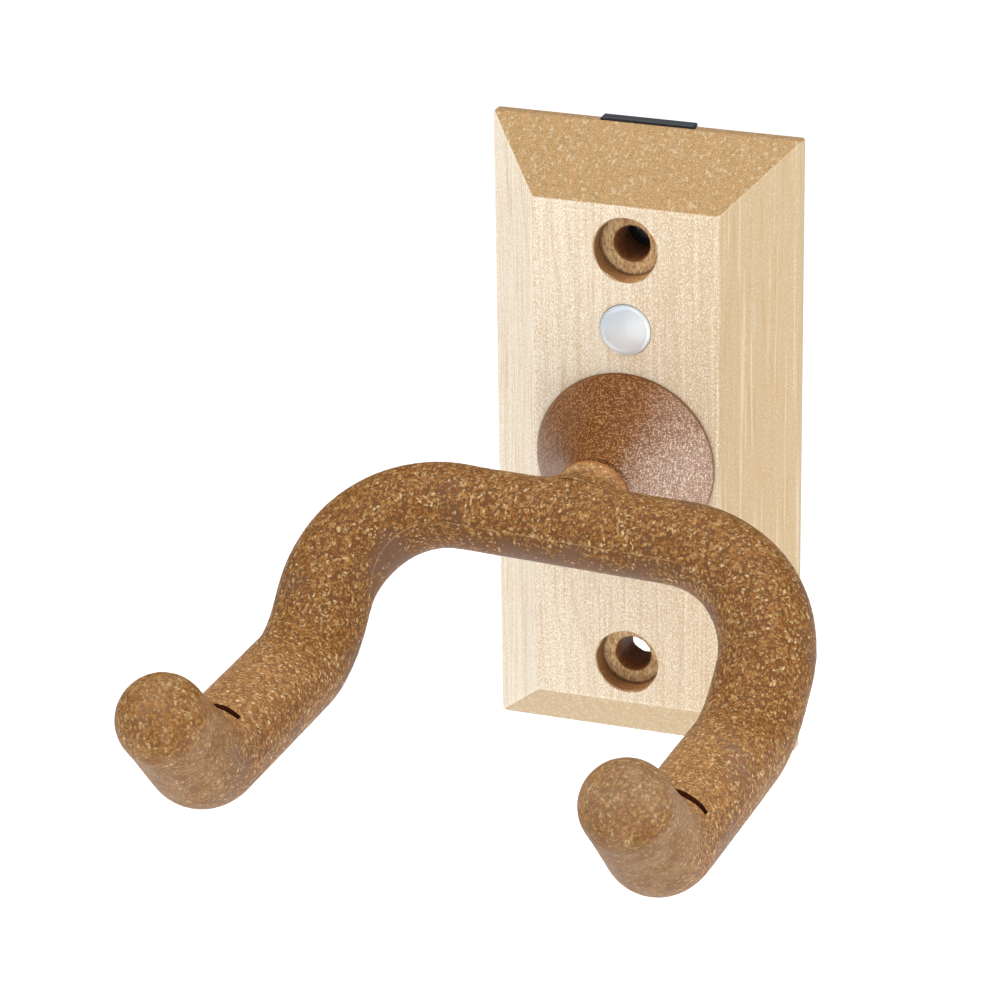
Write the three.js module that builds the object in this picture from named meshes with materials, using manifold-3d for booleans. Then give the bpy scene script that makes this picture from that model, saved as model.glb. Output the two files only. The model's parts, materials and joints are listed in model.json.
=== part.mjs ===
// Wall hanger for a guitar: a chamfered maple plate, a moulded collar and a padded yoke that swivels
// so that both arms meet the headstock. Millimetres. X runs across the plate, +Y points into the
// wall and Z points up. The origin is on the wall, on the swivel axis: the steel strip in the plate's
// back beds on the wall, and the plate itself stands slightly off it.
import * as THREE from "three";
import { mergeVertices } from "three/addons/utils/BufferGeometryUtils.js";
import Module from "manifold-3d";

// Driving dimensions -----------------------------------------------------------------------------

const plate = {
  width: 50, height: 103.5, thickness: 12.2, standOff: 0.5, bevel: 9.9, lip: 1.9, ease: 0.45, corner: 0.9,
};
const screwHole = { spacing: 69.6, radius: 2.9, boreRadius: 5.2, boreDepth: 3.3 };
const strip = {
  width: 15.2, thickness: 2, top: 52.2, bottom: -39, corner: 0.3, screwRadius: 1.9, forkRadius: 3.1,
};
const stripScrew = { z: 22, headRadius: 2.8, headHeight: 1.4, shankRadius: 1.4, length: 9.2, taper: 2 };
const crossRecess = { length: 3, width: 0.7, depth: 0.8 };
const badge = { z: 21.8, radius: 4.1, recess: 0.5, rim: 0.35, dome: 0.5, shoulder: 0.25 };
const collar = { radius: 14.6, rim: 0.7, neckRadius: 5.75, neckY: -28.1, spigotRadius: 6.6 };
const flare = { rimIn: 3.2, rimAhead: 5, neckOut: 0.4, neckBack: 7 };
const pocket = { radius: 7.4, floorY: -8.2 };
const shaft = {
  radius: 3.2, shoulderRadius: 4.7, shoulderY: -29.7, endY: -4, grooveDepth: 0.6, chamfer: 0.5,
};
const bush = { wall: 0.6, flangeRadius: 4.7, flange: 0.6 };
const washer = { radius: 7.0, thickness: 1.0, waveRadius: 6.2, waveThickness: 0.35, waveRise: 0.25 };
const clip = { radius: 5.6, thickness: 0.7, y: -5.4, reliefRadius: 0.9, reliefOffset: 2.4 };
const stub = { radius: 6.2, endY: -28.4, rootFlare: 0.5, rootLength: 6.5, lip: 0.4 };
const padding = { hub: 6.5, arm: 7.38, tip: 6.83, endRise: 5.4, bluntness: 0.85 };
const core = { radius: 4, reach: 0.93 };

// Centre line of the right half of the yoke: shoulder, foot of the drop, heel and tip.
const armCorners = [
  [35.3, -39.35, 0],
  [35.0, -57.4, -20.5],
  [34.8, -99.15, -19.3],
  [34.55, -113.75, -5.3],
];
const cornerRadii = [17.7, 14.1, 11];

const restTurn = THREE.MathUtils.degToRad(2.15); // the yoke hangs a little lower on its right
const gap = 0.3; // between neighbours that touch
const slack = 0.15; // around a piece in its recess
const seat = 0.05; // between faces that rest on each other
const past = 1; // how far a cutter runs past the face it opens

const plateBack = -plate.standOff;
const plateFront = plateBack - plate.thickness;
const grooveFloor = -strip.thickness - 2 * seat;
const shaftClear = shaft.radius + 2 * seat;
const holeZ = [screwHole.spacing / 2, -screwHole.spacing / 2];
const stripScrewZ = [stripScrew.z, -stripScrew.z];

// Solids -----------------------------------------------------------------------------------------

const wasm = await Module();
wasm.setup();

function toSolid(geometry) {
  const bare = geometry.clone();
  bare.deleteAttribute("normal");
  bare.deleteAttribute("uv");
  const merged = mergeVertices(bare);
  return new wasm.Manifold(new wasm.Mesh({
    numProp: 3,
    vertProperties: new Float32Array(merged.attributes.position.array),
    triVerts: new Uint32Array(merged.index.array),
  }));
}

function toGeometry(solid) {
  const mesh = solid.getMesh();
  const geometry = new THREE.BufferGeometry();
  geometry.setAttribute("position", new THREE.BufferAttribute(mesh.vertProperties, 3));
  geometry.setIndex(new THREE.BufferAttribute(mesh.triVerts, 1));
  geometry.computeVertexNormals();
  return geometry;
}

function cut(body, ...cutters) {
  const solid = cutters.reduce((left, cutter) => left.subtract(toSolid(cutter)), toSolid(body));
  return toGeometry(solid);
}

function join(...bodies) {
  return toGeometry(bodies.map(toSolid).reduce((whole, body) => whole.add(body)));
}

/** A closed skin through rings that hold the same number of points, with flat ends. */
function loft(rings) {
  const count = rings[0].length;
  const points = rings.flat();
  const faces = [];
  for (let ring = 0; ring < rings.length - 1; ring++) {
    for (let side = 0; side < count; side++) {
      const a = ring * count + side;
      const b = ring * count + ((side + 1) % count);
      faces.push(a, b, a + count, b, b + count, a + count);
    }
  }
  const first = points.length;
  const last = first + 1;
  points.push(middle(rings[0]), middle(rings[rings.length - 1]));
  const lastRing = (rings.length - 1) * count;
  for (let side = 0; side < count; side++) {
    const next = (side + 1) % count;
    faces.push(first, next, side);
    faces.push(last, lastRing + side, lastRing + next);
  }
  const geometry = new THREE.BufferGeometry().setFromPoints(points);
  geometry.setIndex(faces);
  geometry.computeVertexNormals();
  return geometry;
}

function middle(ring) {
  const sum = ring.reduce((total, point) => total.add(point), new THREE.Vector3());
  return sum.divideScalar(ring.length);
}

/** A body turned about the Y axis from [radius, y] pairs that start and end on the axis. */
function turned(profile, sides = 32) {
  const points = profile.map(([radius, y]) => new THREE.Vector2(radius, y));
  return new THREE.LatheGeometry(points, sides);
}

/** A ring turned about the Y axis between two radii and two depths. */
function ring(inner, outer, front, back, sides = 32) {
  return turned([[inner, front], [outer, front], [outer, back], [inner, back], [inner, front]], sides);
}

/** A round bar along Y from front to back. */
function bar(radius, front, back, sides = 28) {
  const geometry = new THREE.CylinderGeometry(radius, radius, back - front, sides);
  return geometry.translate(0, (front + back) / 2, 0);
}

function block(width, front, back, bottom, top) {
  const geometry = new THREE.BoxGeometry(width, back - front, top - bottom);
  return geometry.translate(0, (front + back) / 2, (bottom + top) / 2);
}

/** A flat outline in X and Z with its back face at y = back. */
function sheet(shape, thickness, back, curveSegments = 10) {
  const geometry = new THREE.ExtrudeGeometry(shape, { depth: thickness, bevelEnabled: false, curveSegments });
  return geometry.rotateX(Math.PI / 2).translate(0, back, 0);
}

function circle(x, z, radius) {
  return new THREE.Path().absarc(x, z, radius, 0, 2 * Math.PI, true);
}

/** Straight runs between corners, with an arc of the given radius at each inner corner. */
function roundedPath(corners, radii) {
  const path = new THREE.CurvePath();
  let start = corners[0];
  for (let i = 1; i < corners.length - 1; i++) {
    const corner = corners[i];
    const radius = radii[i - 1];
    const back = corners[i - 1].clone().sub(corner).normalize();
    const ahead = corners[i + 1].clone().sub(corner).normalize();
    const turn = Math.PI - back.angleTo(ahead);
    const reach = radius * Math.tan(turn / 2);
    const handle = reach - radius * (4 / 3) * Math.tan(turn / 4);
    const at = (direction, distance) => corner.clone().addScaledVector(direction, distance);
    path.add(new THREE.LineCurve3(start, at(back, reach)));
    path.add(new THREE.CubicBezierCurve3(
      at(back, reach), at(back, handle), at(ahead, handle), at(ahead, reach),
    ));
    start = at(ahead, reach);
  }
  path.add(new THREE.LineCurve3(start, corners[corners.length - 1]));
  return path;
}

/** Points of a circle around a path, the first one as near as it can be to straight up. */
function ringAround(centre, tangent, radius, sides) {
  const up = new THREE.Vector3(0, 0, 1);
  up.addScaledVector(tangent, -up.dot(tangent)).normalize();
  const across = new THREE.Vector3().crossVectors(tangent, up);
  const points = [];
  for (let side = 0; side < sides; side++) {
    const angle = (2 * Math.PI * side) / sides;
    const point = centre.clone().addScaledVector(up, radius * Math.cos(angle));
    points.push(point.addScaledVector(across, radius * Math.sin(angle)));
  }
  return points;
}

/** A round body along the path between two fractions of it, with rounded ends `endRise` long. */
function sweep(path, { from, to, radiusAt, endRise, bluntness = 1, sides, steps, endSteps }) {
  const rings = [];
  const end = (fraction, outwards) => {
    const centre = path.getPointAt(fraction);
    const tangent = path.getTangentAt(fraction);
    const radius = radiusAt(fraction);
    const cap = [];
    for (let step = 1; step <= endSteps; step++) {
      const angle = (0.95 * Math.PI / 2 * step) / endSteps;
      const out = centre.clone().addScaledVector(tangent, outwards * endRise * Math.sin(angle) ** bluntness);
      cap.push(ringAround(out, tangent, radius * Math.cos(angle) ** bluntness, sides));
    }
    return cap;
  };
  rings.push(...end(from, -1).reverse());
  for (let step = 0; step <= steps; step++) {
    const fraction = THREE.MathUtils.lerp(from, to, step / steps);
    rings.push(ringAround(path.getPointAt(fraction), path.getTangentAt(fraction), radiusAt(fraction), sides));
  }
  rings.push(...end(to, 1));
  return loft(rings);
}

// Fixed pieces -----------------------------------------------------------------------------------

/** Rectangle with rounded corners in the plane at depth y, drawn from +Z towards +X. */
function roundedRectangle(halfWidth, halfHeight, radius, y) {
  const cornerSteps = 3;
  const points = [];
  for (const [right, up, start] of [[1, 1, 0], [1, -1, 1], [-1, -1, 2], [-1, 1, 3]]) {
    for (let step = 0; step <= cornerSteps; step++) {
      const angle = (Math.PI / 2) * (start + step / cornerSteps);
      const x = right * (halfWidth - radius) + radius * Math.sin(angle);
      const z = up * (halfHeight - radius) + radius * Math.cos(angle);
      points.push(new THREE.Vector3(x, y, z));
    }
  }
  return points;
}

/** The plate's edge in section, as [inset, y] from the front face to the back face, arrises eased. */
function edgeSection() {
  const flat = plate.bevel + plate.ease * 2;
  const corners = [[flat, plateFront], [plate.bevel, plateFront], [0, plateBack - plate.lip], [0, plateBack]];
  const vectors = corners.map(([inset, y]) => new THREE.Vector3(inset, y, 0));
  const section = roundedPath(vectors, [plate.ease * 2, plate.ease]);
  return section.curves.flatMap((curve, index) => curve.getPoints(index % 2 ? 3 : 1).slice(index ? 1 : 0));
}

function wallPlate() {
  const rings = edgeSection().map(({ x: inset, y }) =>
    roundedRectangle(plate.width / 2 - inset, plate.height / 2 - inset, plate.corner, y));
  const cutters = [
    block(strip.width + 2 * slack, grooveFloor, past, strip.bottom - gap, plate.height / 2 + past),
    bar(pocket.radius, pocket.floorY, past, 40),
    bar(collar.spigotRadius + slack, plateFront - past, past, 40),
    bar(badge.radius + slack, plateFront - past, plateFront + badge.recess).translate(0, 0, badge.z),
  ];
  const seatY = plateFront + screwHole.boreDepth;
  for (const z of holeZ) {
    cutters.push(bar(screwHole.radius, plateFront - past, past).translate(0, 0, z));
    cutters.push(bar(screwHole.boreRadius, plateFront - past, seatY, 36).translate(0, 0, z));
  }
  for (const z of stripScrewZ) {
    cutters.push(bar(stripScrew.shankRadius + slack, -stripScrew.length - gap, past, 14).translate(0, 0, z));
  }
  return cut(loft(rings), ...cutters);
}

/** Steel strip in the plate's rear groove: a round hole for the top screw and a fork at the bottom one. */
function backStrip() {
  const half = strip.width / 2;
  const round = strip.corner;
  const [topHole, forkTop] = holeZ;
  const fork = strip.forkRadius;
  const outline = new THREE.Shape();
  outline.moveTo(half, strip.bottom);
  outline.lineTo(half, strip.top - round);
  outline.absarc(half - round, strip.top - round, round, 0, Math.PI / 2);
  outline.absarc(-half + round, strip.top - round, round, Math.PI / 2, Math.PI);
  outline.lineTo(-half, strip.bottom);
  outline.lineTo(-fork, strip.bottom);
  outline.absarc(0, forkTop, fork, Math.PI, 0, true);
  outline.lineTo(fork, strip.bottom);
  outline.holes.push(circle(0, topHole, strip.screwRadius));
  for (const z of stripScrewZ) outline.holes.push(circle(0, z, stripScrew.shankRadius + slack));
  const slope = (stripScrew.headRadius - stripScrew.shankRadius) / stripScrew.headHeight;
  const depth = slack + stripScrew.headHeight + gap;
  const height = depth + past;
  const mouth = stripScrew.shankRadius + slope * height;
  const countersinks = stripScrewZ.map((z) =>
    new THREE.CylinderGeometry(mouth, stripScrew.shankRadius, height, 24).translate(0, past - height / 2, z));
  return cut(sheet(outline, strip.thickness, 0), ...countersinks);
}

/** Countersunk wood screw with a cross recess, pointing out of the wall. */
function stripScrewBody() {
  const top = -slack;
  const neck = top - stripScrew.headHeight;
  const body = turned([
    [0, -stripScrew.length],
    [stripScrew.shankRadius, -stripScrew.length + stripScrew.taper],
    [stripScrew.shankRadius, neck],
    [stripScrew.headRadius, top],
    [0, top],
  ], 20);
  const { length, width, depth } = crossRecess;
  const slot = block(length, top - depth, past, -width / 2, width / 2);
  return cut(body, slot, slot.clone().rotateY(Math.PI / 2));
}

function badgeDisc() {
  const back = plateFront + badge.recess - seat;
  const edge = plateFront - badge.rim;
  const domeRadius = badge.radius - badge.shoulder;
  const domeSteps = 4;
  const profile = [];
  for (let step = 0; step <= domeSteps; step++) {
    const angle = (Math.PI / 2) * (step / domeSteps);
    profile.push([domeRadius * Math.sin(angle), edge - badge.dome * Math.cos(angle)]);
  }
  profile.push([badge.radius, edge + badge.shoulder], [badge.radius, back], [0, back]);
  return turned(profile, 28);
}

/** Radius of the collar's outside between its rim and its neck, a hollow flare. */
function collarOutline() {
  const rimY = plateFront - collar.rim;
  const outline = new THREE.CubicBezierCurve(
    new THREE.Vector2(collar.radius, rimY),
    new THREE.Vector2(collar.radius - flare.rimIn, rimY - flare.rimAhead),
    new THREE.Vector2(collar.neckRadius + flare.neckOut, collar.neckY + flare.neckBack),
    new THREE.Vector2(collar.neckRadius, collar.neckY),
  );
  return outline.getPoints(12).map((point) => [point.x, point.y]);
}

function collarCone() {
  const base = plateFront - seat;
  const spigotEnd = pocket.floorY - slack;
  const profile = [
    [0, collar.neckY],
    ...collarOutline().reverse(),
    [collar.radius, base],
    [collar.spigotRadius, base],
    [collar.spigotRadius, spigotEnd],
    [0, spigotEnd],
  ];
  return cut(turned(profile, 48), bar(shaftClear + bush.wall + slack, collar.neckY - past, 0, 32));
}

function spindleBush() {
  const outer = shaftClear + bush.wall;
  const flangeBack = collar.neckY - seat;
  return turned([
    [shaftClear, flangeBack - bush.flange],
    [bush.flangeRadius, flangeBack - bush.flange],
    [bush.flangeRadius, flangeBack],
    [outer, flangeBack],
    [outer, pocket.floorY - gap],
    [shaftClear, pocket.floorY - gap],
    [shaftClear, flangeBack - bush.flange],
  ]);
}

// Yoke pieces ------------------------------------------------------------------------------------

const rightHalf = armCorners.map(([x, y, z]) => new THREE.Vector3(x, y, z));
const leftHalf = armCorners.map(([x, y, z]) => new THREE.Vector3(-x, y, z)).reverse();
const yokePath = roundedPath([...leftHalf, ...rightHalf], [...cornerRadii].reverse().concat(cornerRadii));
const hubY = armCorners[0][1];

/** The padding is slimmer along the crossbar and at the tips than along the arms. */
function paddingRadius(fraction) {
  const fromHub = Math.abs(2 * fraction - 1);
  const swell = THREE.MathUtils.smoothstep(fromHub, 0.12, 0.32);
  const taper = THREE.MathUtils.smoothstep(fromHub, 0.8, 1);
  const body = THREE.MathUtils.lerp(padding.hub, padding.arm, swell);
  return THREE.MathUtils.lerp(body, padding.tip, taper);
}

/** The steel core, or with a margin the room that it takes in the padding. */
function coreBar(margin) {
  const radius = core.radius + margin;
  return sweep(yokePath, {
    from: (1 - core.reach) / 2,
    to: (1 + core.reach) / 2,
    radiusAt: () => radius,
    endRise: 1 + margin,
    sides: 12,
    steps: 72,
    endSteps: 2,
  });
}

/** Moulded padding: one skin over the whole core, with a stub that shrouds the swivel joint. */
function yokeSleeve() {
  const outside = sweep(yokePath, {
    from: 0,
    to: 1,
    radiusAt: paddingRadius,
    endRise: padding.endRise,
    bluntness: padding.bluntness,
    sides: 20,
    steps: 96,
    endSteps: 4,
  });
  const collarSide = turned([
    [0, hubY],
    [stub.radius + stub.rootFlare, hubY + stub.rootLength / 2],
    [stub.radius, hubY + stub.rootLength],
    [stub.radius, stub.endY - stub.lip],
    [stub.radius - stub.lip, stub.endY],
    [0, stub.endY],
  ]);
  const bore = bar(shaft.shoulderRadius + gap, hubY, stub.endY + past, 32);
  return cut(join(outside, collarSide), coreBar(gap), bore);
}

/** Stepped shaft: its wide end is welded to the core and its thin end turns in the bush. */
function spindle() {
  const grooveFront = clip.y - 2 * seat;
  const grooveBack = clip.y + clip.thickness + 2 * seat;
  const grooveRadius = shaft.radius - shaft.grooveDepth;
  const profile = [
    [0, hubY],
    [shaft.shoulderRadius, hubY],
    [shaft.shoulderRadius, shaft.shoulderY],
    [shaft.radius, shaft.shoulderY],
    [shaft.radius, grooveFront],
    [grooveRadius, grooveFront],
    [grooveRadius, grooveBack],
    [shaft.radius, grooveBack],
    [shaft.radius, shaft.endY - shaft.chamfer],
    [shaft.radius - shaft.chamfer, shaft.endY],
    [0, shaft.endY],
  ];
  const saddle = new THREE.CylinderGeometry(core.radius + gap, core.radius + gap, 20, 32);
  return cut(turned(profile), saddle.rotateZ(Math.PI / 2).translate(0, hubY, 0));
}

/** Spring washer with three waves. */
function waveWasher() {
  const outline = new THREE.Shape().absarc(0, 0, washer.waveRadius, 0, 2 * Math.PI);
  outline.holes.push(circle(0, 0, shaft.radius + gap));
  const back = clip.y - gap - washer.waveRise;
  const geometry = sheet(outline, washer.waveThickness, back, 18);
  const position = geometry.attributes.position;
  for (let i = 0; i < position.count; i++) {
    const angle = Math.atan2(position.getZ(i), position.getX(i));
    position.setY(i, position.getY(i) + washer.waveRise * Math.cos(3 * angle));
  }
  return geometry;
}

/** Retaining clip: a ring with an open mouth and two reliefs so that it can spring. */
function retainingClip() {
  const inner = shaft.radius - shaft.grooveDepth + slack;
  const body = ring(inner, clip.radius, clip.y, clip.y + clip.thickness, 36);
  const front = clip.y - past;
  const back = clip.y + clip.thickness + past;
  const mouth = block(inner * 1.8, front, back, -clip.radius - past, 0);
  const { reliefRadius, reliefOffset } = clip;
  const reliefs = [-1, 1].map((side) =>
    bar(reliefRadius, front, back, 16).translate(side * reliefOffset, 0, reliefOffset));
  return cut(body, mouth, ...reliefs);
}

function flatWasher() {
  const front = pocket.floorY + gap;
  return ring(shaft.radius + gap, washer.radius, front, front + washer.thickness);
}

function thrustWasher() {
  const back = collar.neckY - seat - bush.flange - slack;
  return ring(shaft.radius + gap, bush.flangeRadius, shaft.shoulderY + slack, back);
}

// Assembly ---------------------------------------------------------------------------------------

const finishes = {
  maple: { color: 0xe6cfa6, roughness: 0.6, metalness: 0 },
  darkSteel: { color: 0x3b3d42, roughness: 0.45, metalness: 0.8 },
  zincSteel: { color: 0xb4b7ba, roughness: 0.35, metalness: 0.9 },
  silver: { color: 0xd9dcde, roughness: 0.2, metalness: 0.6 },
  brownRubber: { color: 0x7b533c, roughness: 0.6, metalness: 0 },
  corkRubber: { color: 0x8a6236, roughness: 0.75, metalness: 0 },
  bronze: { color: 0xa8834f, roughness: 0.4, metalness: 0.9 },
  nylon: { color: 0x2c2b2a, roughness: 0.6, metalness: 0 },
};

function piece(name, geometry, finish, z = 0) {
  const mesh = new THREE.Mesh(geometry, new THREE.MeshStandardMaterial(finishes[finish]));
  mesh.name = name;
  mesh.position.z = z;
  return mesh;
}

const fixed = new THREE.Group();
fixed.add(
  piece("wall_plate", wallPlate(), "maple"),
  piece("back_strip", backStrip(), "darkSteel"),
  piece("strip_screw_upper", stripScrewBody(), "zincSteel", stripScrew.z),
  piece("strip_screw_lower", stripScrewBody(), "zincSteel", -stripScrew.z),
  piece("badge", badgeDisc(), "silver", badge.z),
  piece("collar_cone", collarCone(), "brownRubber"),
  piece("spindle_bush", spindleBush(), "bronze"),
);

const yoke = new THREE.Group();
yoke.add(
  piece("yoke_sleeve", yokeSleeve(), "corkRubber"),
  piece("core_rod", coreBar(0), "zincSteel"),
  piece("spindle", spindle(), "zincSteel"),
  piece("thrust_washer", thrustWasher(), "nylon"),
  piece("flat_washer", flatWasher(), "zincSteel"),
  piece("wave_washer", waveWasher(), "zincSteel"),
  piece("retaining_clip", retainingClip(), "darkSteel"),
);
yoke.rotation.y = restTurn;

export default new THREE.Group().add(fixed, yoke);
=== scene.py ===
"""Wall guitar hanger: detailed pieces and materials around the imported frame. Metres, +Z up, wall at y = 0."""
import json
import math

import bmesh
import bpy
import numpy as np
from mathutils import Matrix, Vector, noise


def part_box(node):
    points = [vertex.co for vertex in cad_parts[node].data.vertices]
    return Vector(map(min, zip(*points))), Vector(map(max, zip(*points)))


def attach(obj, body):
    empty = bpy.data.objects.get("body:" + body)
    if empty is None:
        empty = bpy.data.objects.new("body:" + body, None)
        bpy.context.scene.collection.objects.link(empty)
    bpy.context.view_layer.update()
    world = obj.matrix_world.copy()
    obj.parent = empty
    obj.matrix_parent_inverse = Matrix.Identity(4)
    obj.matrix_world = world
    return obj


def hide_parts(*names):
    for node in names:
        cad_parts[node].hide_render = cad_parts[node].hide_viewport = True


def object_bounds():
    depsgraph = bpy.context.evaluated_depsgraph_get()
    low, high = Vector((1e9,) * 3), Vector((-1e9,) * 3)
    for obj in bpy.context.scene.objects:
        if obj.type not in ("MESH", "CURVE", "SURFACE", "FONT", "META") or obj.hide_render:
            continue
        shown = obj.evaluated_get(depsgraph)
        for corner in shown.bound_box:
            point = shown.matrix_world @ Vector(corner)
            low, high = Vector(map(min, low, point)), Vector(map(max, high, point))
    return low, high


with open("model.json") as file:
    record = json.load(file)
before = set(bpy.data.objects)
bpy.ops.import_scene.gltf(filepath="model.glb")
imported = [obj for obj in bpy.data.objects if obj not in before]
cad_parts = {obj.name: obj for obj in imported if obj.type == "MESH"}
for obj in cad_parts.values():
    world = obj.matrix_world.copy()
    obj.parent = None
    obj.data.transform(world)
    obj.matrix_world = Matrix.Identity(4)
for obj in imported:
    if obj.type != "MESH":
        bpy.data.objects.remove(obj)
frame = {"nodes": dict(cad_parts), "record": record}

CAD_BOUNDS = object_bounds()
MM = 0.001

# Sizes in millimetres that the frame doesn't hold
CAMERA = {
    "azimuth": 20.43, "elevation": 23.22, "roll": -0.87, "distance": 770.0, "right": -24.03, "up": -11.01,
}
LENS, SENSOR = 174.95, 36.0
ARM_CORNERS = [(35.3, -39.35, 0.0), (35.0, -57.4, -20.5), (34.8, -99.15, -19.3), (34.55, -113.75, -5.3)]
ARM_RADII = [17.7, 14.1, 11.0]
REST_TURN = math.radians(2.15)
PADDING = {"hub": 6.5, "arm": 7.38, "tip": 6.83, "end_rise": 5.4, "bluntness": 0.85}
ARM_STARTS, ARM_FULL, TIP_STARTS = 0.12, 0.32, 0.8   # as shares of the way from the hub to a tip
CORE = {"radius": 4.3, "reach": 0.93}
STUB = {"radius": 6.2, "end": -28.4, "lip": 0.22, "bore": 5.0}
FILLET = {"half_span": 14, "reach": 3.2, "rise": 0.7, "stub_reach": 3.0, "stub_rise": 1.1}
COLLAR = {"radius": 14.6, "rim": 0.7, "neck": 5.75, "neck_y": -28.1, "spigot": 6.6, "bore": 4.05}
SLIT = {"y": -94.3, "width": 1.5, "depth": 1.5, "left_reach": 3.9, "right_reach": 5.4}
SCREW_HOLE = {"radius": 2.85, "bore": 5.15, "ease": 0.2}
SKIN = {"lump": 7.0, "lump_height": 0.05, "grain": 0.8, "grain_height": 0.035, "below": 0.07}
SLEEVE_STEPS = {"along": 480, "around": 100, "ends": 18}
STRIP_SCREWS = ("strip_screw_upper", "strip_screw_lower")
OVERSHOOT = 1.0   # how far a cutting tool reaches past the surface that it cuts
ON_AXIS = 0.01    # radius of a turned body's first and last points
STRIP = {
    "screw": 1.75, "fork": 3.1, "shank": 1.55, "sink": 3.1, "sink_depth": 1.85, "corner": 0.3, "edge": 0.22,
}
PLATE = {
    "stand_off": 0.5, "bevel": 9.9, "lip": 1.9, "corner": 0.45, "worn_corner": 0.45,
    "groove": 2.1, "pocket": 7.4, "pocket_floor": -8.2,
}


# Mesh helpers -----------------------------------------------------------------------------------

def new_object(name, mesh):
    """A linked object for the mesh, which holds its place in its vertices."""
    obj = bpy.data.objects.new(name, mesh)
    bpy.context.scene.collection.objects.link(obj)
    return obj


def grid_object(name, rings, closed_ends=True):
    """A skin through rings of the same number of points, each ring a closed loop, in millimetres."""
    rings = np.asarray(rings, float) * MM
    count, columns = rings.shape[:2]
    points = rings.reshape(-1, 3)
    index = np.arange(count * columns).reshape(count, columns)
    a, b = index[:-1], np.roll(index, -1, 1)[:-1]
    c, d = np.roll(index, -1, 1)[1:], index[1:]
    faces = np.stack([a, b, c, d], -1).reshape(-1, 4).tolist()
    if closed_ends:
        first, last = len(points), len(points) + 1
        points = np.vstack([points, rings[0].mean(0), rings[-1].mean(0)])
        following = np.roll(np.arange(columns), -1)
        faces += [(first, int(following[i]), i) for i in range(columns)]
        faces += [(last, int(index[-1][i]), int(index[-1][following[i]])) for i in range(columns)]
    mesh = bpy.data.meshes.new(name)
    mesh.from_pydata(points.tolist(), [], faces)
    mesh.update()
    return new_object(name, mesh)


def turned_rings(profile, sides=96, centre=(0.0, 0.0), wobble=0.0, seed=0):
    """Rings around the Y axis from (radius, y) pairs, drawn from +Z towards +X as y grows."""
    angles = np.linspace(0, 2 * math.pi, sides, endpoint=False)
    rings = []
    for step, (radius, y) in enumerate(profile):
        radii = np.full(sides, float(radius))
        if wobble and radius > 0.5:
            around = [(3 * math.cos(t), 3 * math.sin(t), seed + step * 0.7) for t in angles]
            radii += [wobble * noise.noise(place) for place in around]
        x = centre[0] + radii * np.sin(angles)
        z = centre[1] + radii * np.cos(angles)
        rings.append(np.stack([x, np.full(sides, float(y)), z], 1))
    return rings


def turned_object(name, profile, **options):
    """A closed turned body. The profile's first and last points lie on the axis or close on each other."""
    return grid_object(name, turned_rings(profile, **options))


def ring_object(name, profile, **options):
    """A turned body with a hole along its axis: the profile runs once round its section."""
    rings = turned_rings([*profile, profile[0]], **options)
    obj = grid_object(name, rings, closed_ends=False)
    merge(obj)
    return obj


def merge(obj):
    """Joins the points that lie on each other and turns the faces outwards."""
    bm = bmesh.new()
    bm.from_mesh(obj.data)
    bmesh.ops.remove_doubles(bm, verts=bm.verts, dist=0.001 * MM)
    bmesh.ops.recalc_face_normals(bm, faces=bm.faces)
    bm.to_mesh(obj.data)
    bm.free()


def box_object(name, low, high):
    """A box between two corners in millimetres."""
    (x0, y0, z0), (x1, y1, z1) = low, high
    corners = [(x0, z0), (x0, z1), (x1, z1), (x1, z0)]
    rings = [[(x, y, z) for x, z in corners] for y in (y0, y1)]
    return grid_object(name, rings)


def mark_vertices(obj, name, values):
    """Stores a number on each of the mesh's first vertices, for its material to read."""
    marks = obj.data.attributes.new(name, "FLOAT", "POINT").data
    for mark, value in zip(marks, values):
        mark.value = float(value)


def bake_modifiers(obj):
    """Turns what the modifiers make into the object's own mesh."""
    graph = bpy.context.evaluated_depsgraph_get()
    graph.update()
    mesh = bpy.data.meshes.new_from_object(obj.evaluated_get(graph))
    obj.modifiers.clear()
    obj.data = mesh
    mesh.name = obj.name


def combine(obj, tool, operation, keep_materials=False):
    """Joins the tool or cuts it away, and removes it. Cut faces may keep the tool's material."""
    modifier = obj.modifiers.new(operation, "BOOLEAN")
    modifier.operation = operation
    modifier.solver = "EXACT"
    if keep_materials:
        modifier.material_mode = "TRANSFER"
    modifier.object = tool
    bake_modifiers(obj)
    bpy.data.objects.remove(tool)


def shade(obj, sharp_degrees=35):
    obj.data.shade_smooth()
    obj.data.set_sharp_from_angle(angle=math.radians(sharp_degrees))


def paint(obj, material):
    obj.data.materials.clear()
    obj.data.materials.append(material)


def finish_piece(obj, body, slot, *nodes):
    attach(obj, body)
    if nodes:
        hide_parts(*nodes)


# Yoke centre line -------------------------------------------------------------------------------

def rounded_path(corners, radii, arc_steps=24, line_steps=40):
    """Points along straight runs whose inner corners are rounded by arcs."""
    corners = [np.array(c, float) for c in corners]
    points = [corners[0]]
    for previous, corner, following, radius in zip(corners, corners[1:], corners[2:], radii):
        back = (previous - corner) / np.linalg.norm(previous - corner)
        ahead = (following - corner) / np.linalg.norm(following - corner)
        half = math.acos(float(back @ ahead)) / 2
        reach = radius / math.tan(half)
        start = corner + back * reach
        bisector = (back + ahead) / np.linalg.norm(back + ahead)
        centre = corner + bisector * radius / math.sin(half)
        out = (start - centre) / radius
        points += list(np.linspace(points[-1], start, line_steps)[1:])
        turns = np.linspace(0, math.pi - 2 * half, arc_steps)[1:]
        points += [centre + radius * (math.cos(t) * out - math.sin(t) * back) for t in turns]
    points += list(np.linspace(points[-1], corners[-1], line_steps)[1:])
    return np.array(points)


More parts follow.
